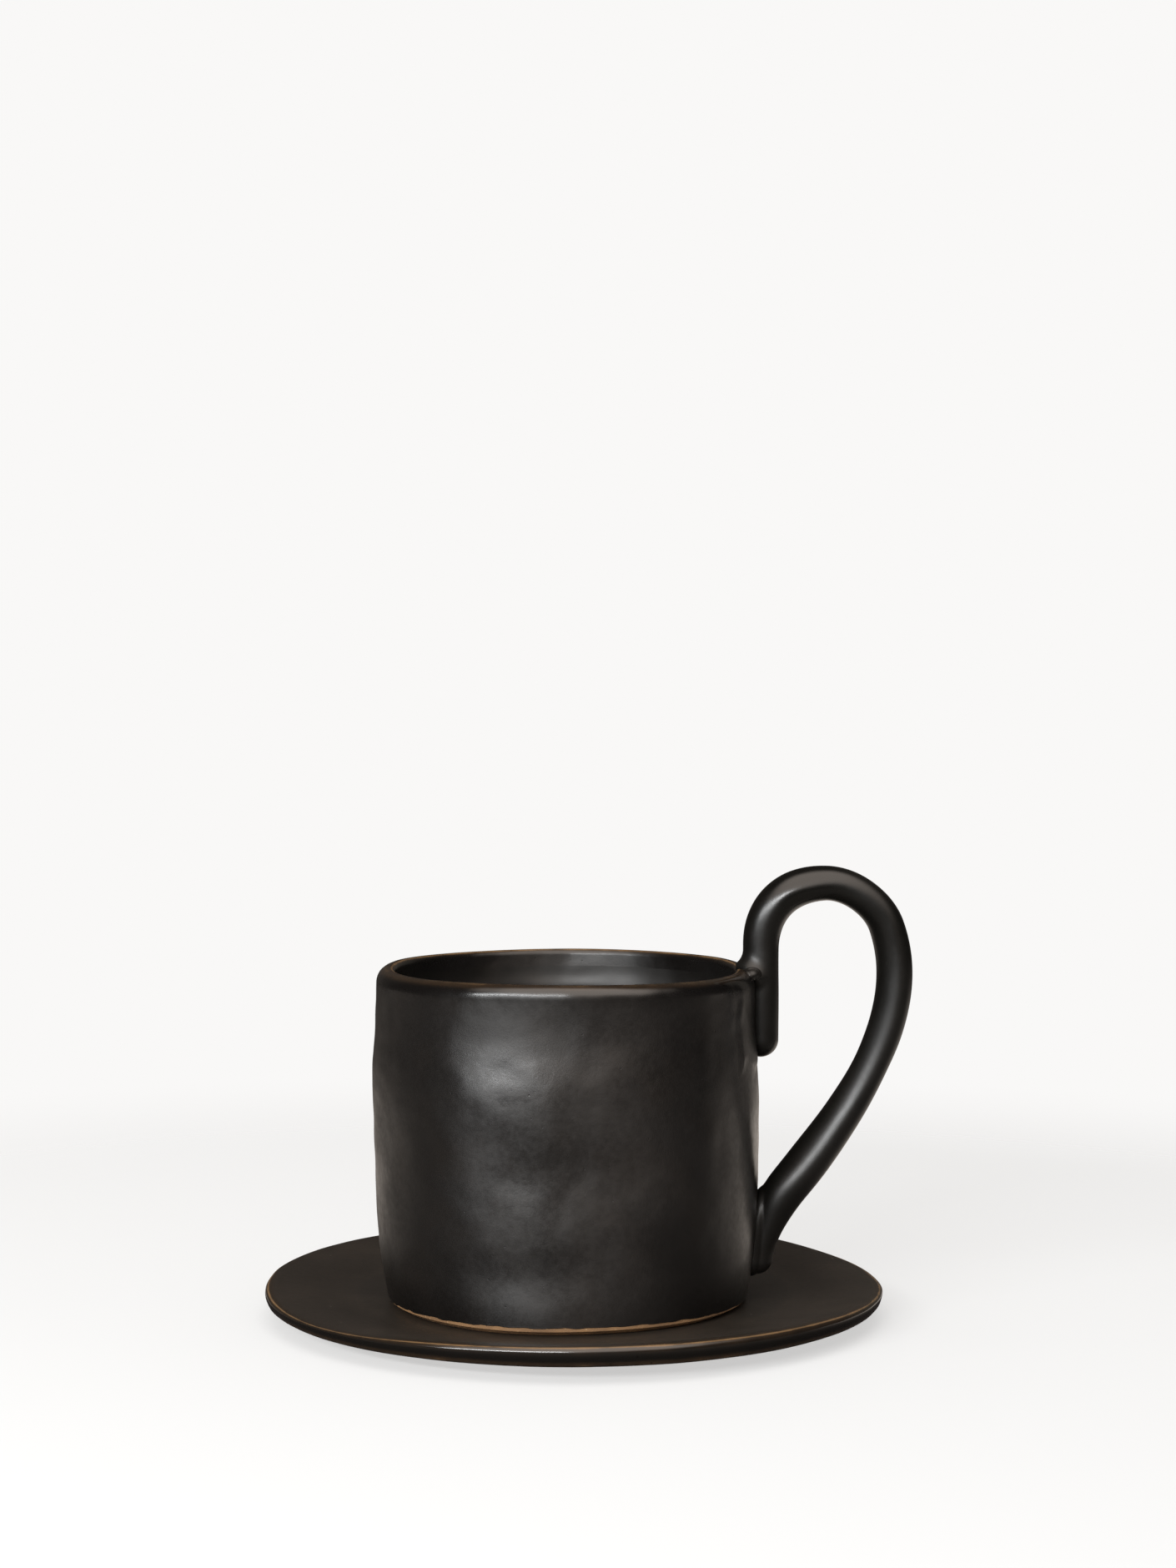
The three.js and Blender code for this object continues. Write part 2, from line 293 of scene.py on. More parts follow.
# pitShade is the near-black painted shade in the pinholes
glaze = {"brown": linear(112, 86, 58), "tea": linear(46, 34, 23), "pitShade": linear(5, 4, 4),
         "dust": linear(150, 142, 132),
         # scale and detail of the noises, and how they are used
         "fine": (2400.0, 2.0), "grain": (700.0, 3.0), "cloud": (50.0, 2.0), "wear": (160.0, 3.0),
         "tint": (90.0, 4.0), "tintFrom": (0.4, 0.75), "cloudFrom": (0.3, 0.7),
         "wearLeast": 0.4, "wearShare": 1.2,
         # scale of the cells, radius where a spot ends and is full, and which cells have one
         "pits": (330.0, 0.09, 0.04, 0.55, 0.57), "specks": (210.0, 0.045, 0.025, 0.72, 0.73),
         # thinness at which the brown and the tea colour start and are full, and the strength of the tea
         "wornFrom": (0.42, 0.95), "teaFrom": (0.05, 0.4), "teaShare": 0.7,
         # how much smoother the glaze is where it is thin or sleek, how much grain a sleek place loses, and
         # the sleekness at which the painted edge shade starts and is full
         "teaSmooth": 0.1, "sleekSmooth": 0.24, "sleekCalm": 0.7, "edgeShadeFrom": (0.1, 0.6),
         "reliefDepth": 0.0002, "reliefFine": 0.35, "reliefGrain": 0.65, "reliefPit": 0.8,
         # colours, gloss and how far the turning marks stretch it, for each place
         # the saucer's colours are lighter than the mug's. They are its dark glaze with part of the even
         # sheen on its top painted in; its edge colour is painted shade
         "saucer": {"black": linear(40, 35, 30), "warm": linear(46, 40, 34), "edge": linear(16, 14, 12),
                    "roughness": 0.38, "patch": 0.06, "speck": 0.08, "relief": 0.08, "ior": 1.48,
                    "brushed": 0.0, "brushTurn": 0.0},
         "wall": {"black": linear(14, 12, 11), "warm": linear(18, 15, 13), "edge": linear(14, 12, 11),
                  "roughness": 0.39, "patch": 0.13, "speck": 0.2, "relief": 0.2, "ior": 1.48,
                  "brushed": 0.6, "brushTurn": 0.25},
         # the lining is a little darker than the wall: painted shade inside the cup
         "lining": {"black": linear(12, 10, 8), "warm": linear(16, 13, 10), "edge": linear(12, 10, 8),
                    "roughness": 0.42, "patch": 0.1, "speck": 0.05, "relief": 0.08, "ior": 1.48,
                    "brushed": 0.0, "brushTurn": 0.0},
         "coil": {"black": linear(11, 10, 8), "warm": linear(15, 13, 11), "edge": linear(11, 10, 8),
                  "roughness": 0.37, "patch": 0.08, "speck": 0.1, "relief": 0.08, "ior": 1.42,
                  "brushed": 0.0, "brushTurn": 0.0}}


def glazeFinish(name, tone, dusty):
    material, bench, spot = emptyFinish(name)

    def spots(scale, end, full, none, some):
        cells = bench.add("ShaderNodeTexVoronoi", {}, {"Vector": spot, "Scale": scale})
        chosen = bench.add("ShaderNodeSeparateColor", {}, {"Color": cells.side("Color")})
        return cells.smooth(end, full) * chosen.smooth(none, some)

    grain = noise(bench, spot, *glaze["grain"])
    thin = bench.add("ShaderNodeAttribute", {"attribute_name": "thin"}, out="Fac")
    sleek = bench.add("ShaderNodeAttribute", {"attribute_name": "sleek"}, out="Fac")
    patchy = thin * (glaze["wearLeast"] + noise(bench, spot, *glaze["wear"]) * glaze["wearShare"])
    worn = patchy.smooth(*glaze["wornFrom"])
    tea = patchy.smooth(*glaze["teaFrom"])
    calm = 1.0 - sleek * glaze["sleekCalm"]
    pit = spots(*glaze["pits"])
    tint = noise(bench, spot, *glaze["tint"]).smooth(*glaze["tintFrom"])
    colour = mixed(bench, tint, tone["black"], tone["warm"])
    # painted shade: sleek places take the place's edge colour. It is much darker on the saucer's upright
    # edge, which the key lamp lights. On the mug and coil it is their black, so the warm tint goes there
    colour = mixed(bench, sleek.smooth(*glaze["edgeShadeFrom"]), colour, tone["edge"])
    colour = mixed(bench, tea * glaze["teaShare"], colour, glaze["tea"])
    colour = mixed(bench, worn, colour, glaze["brown"])
    # painted shade: the pinholes are painted near black, on top of their sunken bump
    colour = mixed(bench, pit, colour, glaze["pitShade"])
    if dusty:
        colour = mixed(bench, spots(*glaze["specks"]), colour, glaze["dust"])
    cloud = noise(bench, spot, *glaze["cloud"]).smooth(*glaze["cloudFrom"])
    rough = tone["roughness"] + (cloud - 0.5) * tone["patch"] + (grain - 0.5) * calm * tone["speck"]
    rough = rough - (tea * glaze["teaSmooth"]).apply("MAXIMUM", sleek * glaze["sleekSmooth"])
    fine = noise(bench, spot, *glaze["fine"])
    relief = fine * glaze["reliefFine"] + grain * glaze["reliefGrain"] - pit * glaze["reliefPit"]
    normal = bench.add("ShaderNodeBump", {}, {"Strength": tone["relief"], "Distance": glaze["reliefDepth"],
                                              "Height": relief * calm})
    body = {"Base Color": colour, "Roughness": rough, "IOR": tone["ior"], "Normal": normal,
            "Anisotropic": tone["brushed"], "Anisotropic Rotation": tone["brushTurn"]}
    surface = bench.add("ShaderNodeBsdfPrincipled", {}, body)
    bench.add("ShaderNodeOutputMaterial", {}, {"Surface": surface})
    return material


clay = {"tan": linear(124, 92, 59), "dark": linear(97, 71, 46), "grit": linear(152, 122, 88),
        "grain": (1500.0, 3.0), "patch": (140.0, 3.0), "patchFrom": (0.35, 0.75),     # scale and detail
        "gritScale": 900.0, "gritFrom": (0.2, 0.1), "gritShare": 0.7, "gritRelief": 0.4,
        "roughness": 0.8, "roughGrain": 0.2, "relief": 0.35, "reliefDepth": 0.0003, "ior": 1.45}


def clayFinish(name):
    material, bench, spot = emptyFinish(name)
    grain = noise(bench, spot, *clay["grain"])
    patch = noise(bench, spot, *clay["patch"])
    grit = bench.add("ShaderNodeTexVoronoi", {}, {"Vector": spot, "Scale": clay["gritScale"]})
    colour = mixed(bench, patch.smooth(*clay["patchFrom"]), clay["tan"], clay["dark"])
    colour = mixed(bench, grit.smooth(*clay["gritFrom"]) * clay["gritShare"], colour, clay["grit"])
    normal = bench.add("ShaderNodeBump", {}, {"Strength": clay["relief"], "Distance": clay["reliefDepth"],
                                              "Height": grain - grit * clay["gritRelief"]})
    body = {"Base Color": colour, "Roughness": clay["roughness"] + (grain - 0.5) * clay["roughGrain"],
            "IOR": clay["ior"], "Normal": normal}
    surface = bench.add("ShaderNodeBsdfPrincipled", {}, body)
    bench.add("ShaderNodeOutputMaterial", {}, {"Surface": surface})
    return material


saucerGlaze = glazeFinish("saucerGlaze", glaze["saucer"], True)
wallGlaze = glazeFinish("wallGlaze", glaze["wall"], False)
liningGlaze = glazeFinish("liningGlaze", glaze["lining"], False)
coilGlaze = glazeFinish("coilGlaze", glaze["coil"], False)
bareClay = clayFinish("bareClay")
print("finishes made")


# saucer

saucer = {"radius": 75.0, "thickness": 5.0, "seatHeight": 5.3, "seatRadius": 52.82, "rise": 3.2,
          "underRadius": 46.8, "noseDrop": 2.0, "around": 320,
          # pull of the curves under the border, behind the edge and at the seat
          "underEase": 4.0, "edgeEase": (7.0, 1.6), "seatEase": 3.5,
          "lowSquare": 2.3, "topSquare": 2.8,       # fullness of the edge below and above its nose
          "footRadius": 46.0, "footHeight": 1.5, "footRound": 0.8, "footTuck": 0.4, "footAround": 192,
          # hollow under the foot: depth, and how far in its slope starts, bends and ends
          "hollow": 0.35, "hollowSlope": (9.0, 7.5, 6.0),
          # angle, width and share of the places where the edge is pressed down
          "drops": ((10.0, 40.0, 0.75), (214.0, 30.0, 0.85)),
          # scale, seed and amount of the unevenness up and down, and in the edge
          "waver": (0.025, 40.0, 0.4), "edgeWaver": (0.06, 90.0, 0.5),
          # place, reach and strength of the lines where the glaze runs thin, and of the sleek edge, which
          # also carries the painted edge shade
          "thinCrests": ((74.3, 8.1, 0.28, 0.6), (74.2, 7.9, 1.4, 0.35), (74.2, 4.2, 0.9, 0.5)),
          "sleekCrests": ((75.0, 6.2, 2.4, 1.0),)}


def saucerMarks(bench, radius, height, angle):
    outer = radius.smooth(saucer["seatRadius"], saucer["radius"])
    waver = unevenness(bench, radius, 0.0, angle, saucer["waver"])
    edge = unevenness(bench, radius, 0.0, angle, saucer["edgeWaver"])
    nose = saucer["seatHeight"] + saucer["rise"] - saucer["thickness"] / 2.0
    above = (height - nose).apply("MAXIMUM", 0.0) * outer
    drop = 0.0
    for dropAngle, width, share in saucer["drops"]:
        drop = drop + hump(turnFrom(angle, dropAngle) / math.radians(width)) * share
    return radius + edge * outer, height + waver * outer - above * drop


def saucerOutline():
    nose = saucer["radius"] - saucer["thickness"] / 2.0
    seat = saucer["seatHeight"]
    top = seat + saucer["rise"]
    under = saucer["footHeight"]
    middle = (saucer["seatRadius"] + nose) / 2.0
    level = top - saucer["noseDrop"]
    reach = saucer["radius"] - nose
    easeIn, easeDown = saucer["edgeEase"]
    points = [(0.0, under)]
    points += linePoints(points[-1], (saucer["underRadius"], under), 10)
    points += bezierPoints(points[-1], (middle - saucer["underEase"], under), (middle, under),
                           (nose, top - saucer["thickness"]), 24)
    points += arcPoints((nose, level), reach, saucer["thickness"] - saucer["noseDrop"], -90.0, 0.0, 36,
                        saucer["lowSquare"])
    points += arcPoints((nose, level), reach, saucer["noseDrop"], 0.0, 90.0, 40, saucer["topSquare"])
    points += bezierPoints(points[-1], (nose - easeIn, top - easeDown), (middle - saucer["seatEase"], seat),
                           (saucer["seatRadius"], seat), 28)
    points += linePoints(points[-1], (0.0, seat), 40)
    return points


def saucerFootOutline():
    radius = saucer["footRadius"]
    rounding = saucer["footRound"]
    hollow = saucer["hollow"]
    slopeStart, slopeBend, slopeEnd = (radius - inward for inward in saucer["hollowSlope"])
    tuck = saucer["footHeight"] + saucer["footTuck"]
    points = [(0.0, hollow)]
    points += linePoints(points[-1], (slopeStart, hollow), 10)
    points += bezierPoints(points[-1], (slopeBend, hollow), (slopeBend, 0.0), (slopeEnd, 0.0), 8)
    points += linePoints(points[-1], (radius - rounding, 0.0), 6)
    points += arcPoints((radius - rounding, rounding), rounding, rounding, -90.0, 0.0, 8)
    points += linePoints(points[-1], (radius, tuck), 3)
    points += linePoints(points[-1], (0.0, tuck), 6)
    return points


saucerTree = wheelTree("saucerWheel", saucerMarks)
outline = saucerOutline()
shares = {"thin": crestShare(outline, saucer["thinCrests"]),
          "sleek": crestShare(outline, saucer["sleekCrests"])}
saucerPlate = grow("saucerPlate", outlineMesh("saucerOutline", outline, shares), saucerTree,
                   {"Around": saucer["around"], "Centre": (0.0, 0.0, 0.0), "Finish": saucerGlaze})
saucerFoot = grow("saucerFoot", outlineMesh("saucerFootOutline", saucerFootOutline(), {}), saucerTree,
                  {"Around": saucer["footAround"], "Centre": (0.0, 0.0, 0.0), "Finish": bareClay})
print("saucer turned:", len(saucerPlate.data.polygons), "faces")


# mug: foot slab and pressed wall

mug = {"centre": (-2.0, -9.0), "base": 5.3, "height": 80.0, "wall": 4.5, "around": 288,
       "footRadius": 42.6, "footFlare": 2.6, "footCurve": 11.2, "bellyRadius": 46.6, "bellyHeight": 47.2,
       "bellyEase": 22.0, "shoulderEase": 14.0, "floor": 5.0, "floorRound": 9.0,
       "rimRadius": 45.4, "rimOut": 3.1, "rimFall": 3.4, "rimSquare": 2.1, "rimWave": 0.3,
       "rimHighAngle": 80.0,
       # angle, lift and width of the places where the rim stands higher
       "rimLifts": ((165.0, 0.8, 35.0), (20.0, 0.45, 25.0)),
       # throwing ring inside: depth below the rim, tallness, thickness, and how far out it may start
       "swellDepth": 9.4, "swellTall": 2.2, "swell": 0.42, "swellSlack": 0.7,
       # lower end of the glaze: height, rounding, underside, fall towards the back and its limit, and where
       "bandHeight": 1.95, "glazeLip": 0.3, "glazeUnder": 0.9, "lipDrop": 0.8, "lipLimit": 0.9,
       "lipBelow": (6.0, 2.0), "lipOutside": (38.0, 41.5),
       "glazeTuck": 3.0, "lipClear": 1.3, "cornerClear": 0.3,       # room left between neighbouring curves
       # bare foot: hollow and its slope, undercut with the pull of its curve, band's low edge and rounding
       "hollowRadius": 34.0, "hollowDepth": 0.8, "hollowSlope": 2.0, "footInset": 0.15, "undercut": 2.2,
       "undercutEase": (0.5, 0.6), "bandLow": 1.05, "bandRound": (0.25, 0.3), "slabTop": (0.6, 1.4),
       # angle from the handle, height, depth, width, tallness
       "pressMarks": ((276, 43.2, 3.0, 22, 36), (259, 68.2, 1.4, 24, 10), (246, 87.2, 0.9, 14, 12),
                      (262, 37.2, 0.7, 24, 8), (257, 13.2, 0.8, 22, 6), (256, 1.2, -1.1, 22, 9),
                      (180, 35.2, 0.9, 20, 14), (350, 1.2, -1.0, 34, 14), (352, 67.2, 0.6, 18, 14),
                      (86, 43.2, 0.9, 26, 50), (112, 27.2, 0.5, 20, 10), (66, 61.2, 0.4, 18, 12)),
       # radius from which the marks show in the wall and in the foot slab
       "marksFrom": (20.0, 36.0), "footMarksFrom": (30.0, 41.0),
       # scale, seed and amount of the unevenness, height it counts from, and where it starts
       "sway": (0.035, 15.0, 0.7), "ripple": (0.11, 33.0, 0.5), "ragged": (0.22, 70.0, 0.9),
       "swayFrom": 1.2, "swayStart": (2.0, 12.0),
       # place, reach and strength of the lines where the rim's glaze runs thin, and of its sleek shoulder
       "thinCrests": ((41.7, 79.8, 0.4, 0.6), (43.0, 79.7, 1.6, 0.5)),
       "sleekCrests": ((44.0, 79.0, 2.6, 1.0),)}
mugCentre = (mug["centre"][0] * mm, mug["centre"][1] * mm, mug["base"] * mm)

# thin slip left on the wall under the top of the handle
pad = {"angle": (28.0, 24.0), "radius": (43.0, 44.5), "low": (55.2, 59.7), "high": (79.7, 75.7),
       "thick": 0.4, "fray": (0.14, 52.0, 1.0), "frayTurn": 0.16, "frayFall": 9.0}


def wallOutline(steps):
    # the outside of the wall, from the foot band to the rim
    foot = (mug["footRadius"], mug["bandHeight"])
    belly = (mug["bellyRadius"], mug["bellyHeight"])
    shoulder = (mug["rimRadius"], mug["height"] - mug["rimFall"])
    points = [foot]
    points += bezierPoints(foot, (mug["footRadius"] + mug["footFlare"], mug["footCurve"]),
                           (belly[0], belly[1] - mug["bellyEase"]), belly, steps)
    points += bezierPoints(belly, (belly[0], belly[1] + mug["shoulderEase"]),
                           (shoulder[0], shoulder[1] - mug["shoulderEase"]), shoulder, steps)
    return points


def wallRadiusAt(height):
    points = wallOutline(steps=200)
    for (r0, h0), (r1, h1) in zip(points, points[1:]):
        if h0 <= height <= h1:
            return r0 + (r1 - r0) * (height - h0) / (h1 - h0)
    return points[0][0]


def mugOutline():
    wall = wallOutline(steps=56)
    band = mug["bandHeight"]
    lip = mug["glazeLip"]
    crest = mug["rimRadius"] - mug["rimOut"]
    tuck = mug["wall"] - mug["rimOut"]
    foot = wallRadiusAt(band + lip)
    points = [(0.0, band + mug["glazeUnder"])]
    points += linePoints(points[-1], (foot - mug["glazeTuck"] * lip, band + mug["glazeUnder"]), 8)
    points += linePoints(points[-1], (foot - lip, band), 4)
    points += arcPoints((foot - lip, band + lip), lip, lip, -90.0, 0.0, 8)
    points += [p for p in wall if p[1] > band + lip * mug["lipClear"]]
    points += arcPoints((crest, wall[-1][1]), mug["rimOut"], mug["rimFall"], 0.0, 90.0, 36, mug["rimSquare"])
    points += arcPoints((crest, mug["height"] - tuck), tuck, tuck, 90.0, 180.0, 20, mug["rimSquare"])
    points += linePoints(points[-1], (mug["rimRadius"] - mug["wall"], wall[-1][1]), 4)
    rounding = mug["floorRound"]
    corner = mug["floor"] + rounding
    inside = [(r - mug["wall"], h) for r, h in reversed(wall)]
    points += [p for p in inside[1:] if p[1] > corner + mug["cornerClear"]]
    inner = wallRadiusAt(corner) - mug["wall"]
    points.append((inner, corner))
    points += arcPoints((inner - rounding, corner), rounding, rounding, 0.0, -90.0, 14)
    points += linePoints(points[-1], (0.0, mug["floor"]), 16)
    return [(r - ringSwell(r, h), h) for r, h in points]


def ringSwell(radius, height):
    if radius >= mug["rimRadius"] - mug["wall"] + mug["swellSlack"]:
        return 0.0
    depth = mug["height"] - mug["swellDepth"] - height
    return mug["swell"] * math.exp(-(depth / mug["swellTall"]) ** 2)


def insideShare(points):
    # 1 from a little below the top of the rim to the middle of the floor
    start = max(range(len(points)), key=lambda i: points[i][1])
    depth = mug["height"] - mug["rimFall"]
    return [1.0 if i > start and h < depth else 0.0 for i, (r, h) in enumerate(points)]


def footOutline():
    edge = mug["footRadius"] - mug["footInset"]
    hollow = mug["hollowRadius"]
    slope = mug["hollowSlope"]
    inmost = edge - mug["undercut"]
    easeOut, easeIn = mug["undercutEase"]
    low = mug["bandLow"]
    wide, tall = mug["bandRound"]
    edgeTop, middleTop = mug["slabTop"]
    points = [(0.0, mug["hollowDepth"])]
    points += linePoints(points[-1], (hollow - slope, mug["hollowDepth"]), 8)
    points += bezierPoints(points[-1], (hollow, mug["hollowDepth"]), (hollow, 0.0), (hollow + slope, 0.0), 8)
    points += linePoints(points[-1], (inmost, 0.0), 6)
    points += bezierPoints(points[-1], (inmost + easeOut, 0.0), (edge - easeIn, low), (edge - wide, low), 10)
    points += bezierPoints(points[-1], (edge - wide / 5.0, low), (edge, low + tall / 3.0),
                           (edge, low + tall), 6)
    points += linePoints(points[-1], (edge, mug["bandHeight"] + edgeTop), 8)
    points += linePoints(points[-1], (0.0, mug["bandHeight"] + middleTop), 6)
    return points


def pressDepth(height, angle):
    depth = 0.0
    for markAngle, markHeight, markDepth, width, tall in mug["pressMarks"]:
        turn = turnFrom(angle, markAngle) * (mug["bellyRadius"] / width)
        rise = (height - markHeight) / tall
        depth = depth + ((turn * turn + rise * rise) * -1.0).apply("EXPONENT") * markDepth
    return depth


def padThickness(bench, radius, height, angle):
    fray = unevenness(bench, radius, height - mug["swayFrom"], angle, pad["fray"])
    aside = turnFrom(angle, 0.0).apply("ABSOLUTE") + fray * pad["frayTurn"]
    start, full = (math.radians(half) for half in pad["angle"])
    share = aside.smooth(start, full) * radius.smooth(*pad["radius"])
    torn = height + fray * pad["frayFall"]
    return share * torn.smooth(*pad["low"]) * height.smooth(*pad["high"]) * pad["thick"]


def rimLift(height, angle):
    lift = ((angle - math.radians(mug["rimHighAngle"])) * 2.0).apply("COSINE") * mug["rimWave"]
    for liftAngle, liftHeight, width in mug["rimLifts"]:
        lift = lift + hump(turnFrom(angle, liftAngle) / math.radians(width)) * liftHeight
    return lift * height.smooth(mug["bellyHeight"], mug["height"])


def mugMarks(bench, radius, height, angle):
    swayHeight = height - mug["swayFrom"]
    sway = unevenness(bench, radius, swayHeight, angle, mug["sway"])
    ripple = unevenness(bench, radius, swayHeight, angle, mug["ripple"])
    ragged = unevenness(bench, radius, 0.0, angle, mug["ragged"])
    depth = pressDepth(height, angle) - padThickness(bench, radius, height, angle)
    depth = depth - (sway + ripple) * height.smooth(*mug["swayStart"])
    nearLip = height.smooth(*mug["lipBelow"]) * radius.smooth(*mug["lipOutside"])
    # the glaze ends higher in front than at the sides and the back
    lipFall = ((angle.apply("SINE") + 1.0) * mug["lipDrop"]).apply("MINIMUM", mug["lipLimit"])
    risen = height + rimLift(height, angle) + (ragged - lipFall) * nearLip
    return radius - depth * radius.smooth(*mug["marksFrom"]), risen


def footMarks(bench, radius, height, angle):
    return radius - pressDepth(height, angle) * radius.smooth(*mug["footMarksFrom"]), height


outline = mugOutline()
shares = {"thin": crestShare(outline, mug["thinCrests"]), "sleek": crestShare(outline, mug["sleekCrests"]),
          "inside": insideShare(outline)}
mugTree = wheelTree("mugWheel", mugMarks, True)
glazedCup = grow("glazedCup", outlineMesh("mugOutline", outline, shares), mugTree,
                 {"Around": mug["around"], "Centre": mugCentre, "Finish": wallGlaze, "Lining": liningGlaze})
footTree = wheelTree("footWheel", footMarks)
footSlab = grow("footSlab", outlineMesh("footOutline", footOutline(), {}), footTree,
                {"Around": mug["around"], "Centre": mugCentre, "Finish": bareClay})
print("mug turned:", len(glazedCup.data.polygons), "faces")


# handle: one coil laid along a path, spreading where it meets the wall

coil = {"radius": 4.3, "shoulderRadius": 4.5, "limbRadius": 4.1, "crotchRadius": 5.0, "tipRadius": 3.7,
        "tailStandOff": 0.6, "tailDrop": 21.6, "loopRadius": 15.5, "loopRise": 4.8, "loopEnd": 20.0,
        "loopFull": 0.61, "loopLean": 0.385, "limbPull": 22.0, "crotchHeight": 27.6, "crotchStandOff": 7.8,
        "crotchLean": 39.0, "crotchPull": 25.0, "footBend": 9.0, "tipHeight": 9.6, "tipStandOff": 1.9,
        "tipLean": 0.8, "tipPull": 5.0,
        # points along each length, and round the section
        "endSteps": 13, "tailSteps": 28, "shoulderSteps": 36, "overSteps": 30, "limbSteps": 80,
        "footSteps": 48, "sides": 80,
        # squared and oval section, and the sides that these face
        "square": 2.1, "facing": (-0.2, -0.97, 0.1), "oval": 0.13, "ovalSide": (0.93, 0.0, -0.37),
        "ovalFront": (0.0, -1.0, 0.0), "ovalSlack": 0.7, "ovalFrom": (5.0, 15.0),
        # spread on the wall and on the rim, with its reach, and the ridge of slip beside the joint
        "spread": 1.0, "spreadReach": 2.0, "rimSpread": 1.7, "rimReach": 3.0, "footSide": (4.0, 14.0),
        "rimFrom": (-5.0, -2.0), "rimTo": (6.0, 14.0), "ridge": 0.2, "ridgeOut": (1.7, 1.1),
        "ridgeIn": (0.3, 0.9), "uneven": 0.3, "wobbleScale": 70.0,
        # the loop's sleek part: strength, rise above the rim, start beyond it and fade beyond the top
        "sleek": 0.56, "sleekRise": 4.0, "sleekFrom": (1.0, 9.0), "sleekFade": 12.0}


def coilPath():
    # points as (outwards, upwards, radius) from the mug's axis and foot
    radius = coil["radius"]
    tail = mug["height"] - coil["tailDrop"]
    tailX = wallRadiusAt(tail) + coil["tailStandOff"]
    loopZ = mug["height"] + coil["loopRise"]
    loopX = tailX + coil["loopRadius"]
    full = coil["loopRadius"] * coil["loopFull"]
    over = coil["loopRadius"] * coil["loopLean"]
    end = math.radians(coil["loopEnd"])
    endSin, endCos = math.sin(end), math.cos(end)
    lean = math.radians(coil["crotchLean"])
    leanSin, leanCos = math.sin(lean), math.cos(lean)
    top = (loopX, loopZ + coil["loopRadius"])
    limb = (loopX + coil["loopRadius"] * endCos, loopZ + coil["loopRadius"] * endSin)
    limbIn = (limb[0] - endSin * over, limb[1] + endCos * over)
    limbOut = (limb[0] + endSin * coil["limbPull"], limb[1] - endCos * coil["limbPull"])
    crotch = (wallRadiusAt(coil["crotchHeight"]) + coil["crotchStandOff"], coil["crotchHeight"])
    crotchIn = (crotch[0] + leanSin * coil["crotchPull"], crotch[1] + leanCos * coil["crotchPull"])
    bend = (crotch[0] - leanSin * coil["footBend"], crotch[1] - leanCos * coil["footBend"])
    tip = (wallRadiusAt(coil["tipHeight"]) + coil["tipStandOff"], coil["tipHeight"])
    tipIn = (tip[0] + coil["tipLean"], tip[1] + coil["tipPull"])
    path = []
    for step in range(coil["endSteps"]):            # rounded tail end
        turn = math.radians(90.0 * step / coil["endSteps"])
        path.append((tailX, tail + radius * (1.0 - math.cos(turn)), radius * math.sin(turn)))
    path.append((tailX, tail + radius, radius))
    for x, z in linePoints((tailX, tail + radius), (tailX, loopZ), coil["tailSteps"]):
        path.append((x, z, radius))
    steps = coil["shoulderSteps"]
    shoulder = bezierPoints((tailX, loopZ), (tailX, loopZ + full), (top[0] - full, top[1]), top, steps)
    for step, (x, z) in enumerate(shoulder, 1):
        bulge = math.sin(math.pi * step / steps) * (coil["shoulderRadius"] - radius)
        path.append((x, z, radius + bulge))
    for x, z in bezierPoints(top, (top[0] + over, top[1]), limbIn, limb, coil["overSteps"]):
        path.append((x, z, radius))
    steps = coil["limbSteps"]
    for step, (x, z) in enumerate(bezierPoints(limb, limbOut, crotchIn, crotch, steps), 1):
        shrunk = smoothStep(step / steps, 0.0, 0.5) * (coil["limbRadius"] - radius)
        grown = smoothStep(step / steps, 0.5, 1.0) * (coil["crotchRadius"] - coil["limbRadius"])
        path.append((x, z, radius + shrunk + grown))
    steps = coil["footSteps"]
    for step, (x, z) in enumerate(bezierPoints(crotch, bend, tipIn, tip, steps), 1):
        shrunk = smoothStep(step / steps, 0.0, 1.0)
        path.append((x, z, coil["crotchRadius"] + (coil["tipRadius"] - coil["crotchRadius"]) * shrunk))
    for step in range(1, coil["endSteps"] + 1):     # rounded foot end
        turn = math.radians(90.0 * step / coil["endSteps"])
        path.append((tip[0], tip[1] - coil["tipRadius"] * math.sin(turn), coil["tipRadius"] * math.cos(turn)))
    return path


def coilShares(path):
    # what changes along the coil
    rim = mug["height"]
    rimX = mug["rimRadius"]
    topX = max(path, key=lambda point: point[1])[0]
    footLow, footHigh = (coil["crotchHeight"] + above for above in coil["footSide"])
    fromLow, fromHigh = (rim + above for above in coil["rimFrom"])
    toLow, toHigh = (rim + above for above in coil["rimTo"])
    ovalLow, ovalHigh = (rimX + beyond for beyond in coil["ovalFrom"])
    sleekLow, sleekHigh = (rimX + beyond for beyond in coil["sleekFrom"])
    shares = {"coilRadius": [], "ovalHere": [], "sleek": [], "spreadHere": [], "spreadReach": []}
    for x, z, r in path:
        footSide = 1.0 - smoothStep(z, footLow, footHigh)
        rimSide = smoothStep(z, fromLow, fromHigh) * (1.0 - smoothStep(z, toLow, toHigh)) * (x < topX)
        sleek = smoothStep(z, rim, rim + coil["sleekRise"]) * smoothStep(x, sleekLow, sleekHigh)
        sleek = sleek * (1.0 - smoothStep(x, topX, topX + coil["sleekFade"]))
        shares["coilRadius"].append(r * mm)
        shares["ovalHere"].append(1.0 - coil["ovalSlack"] * (1.0 - smoothStep(x, ovalLow, ovalHigh)))
        shares["sleek"].append(sleek * coil["sleek"])
        shares["spreadHere"].append(footSide + rimSide * coil["rimSpread"])
        shares["spreadReach"].append((coil["spreadReach"] + rimSide * coil["rimReach"]) * mm)
    return shares


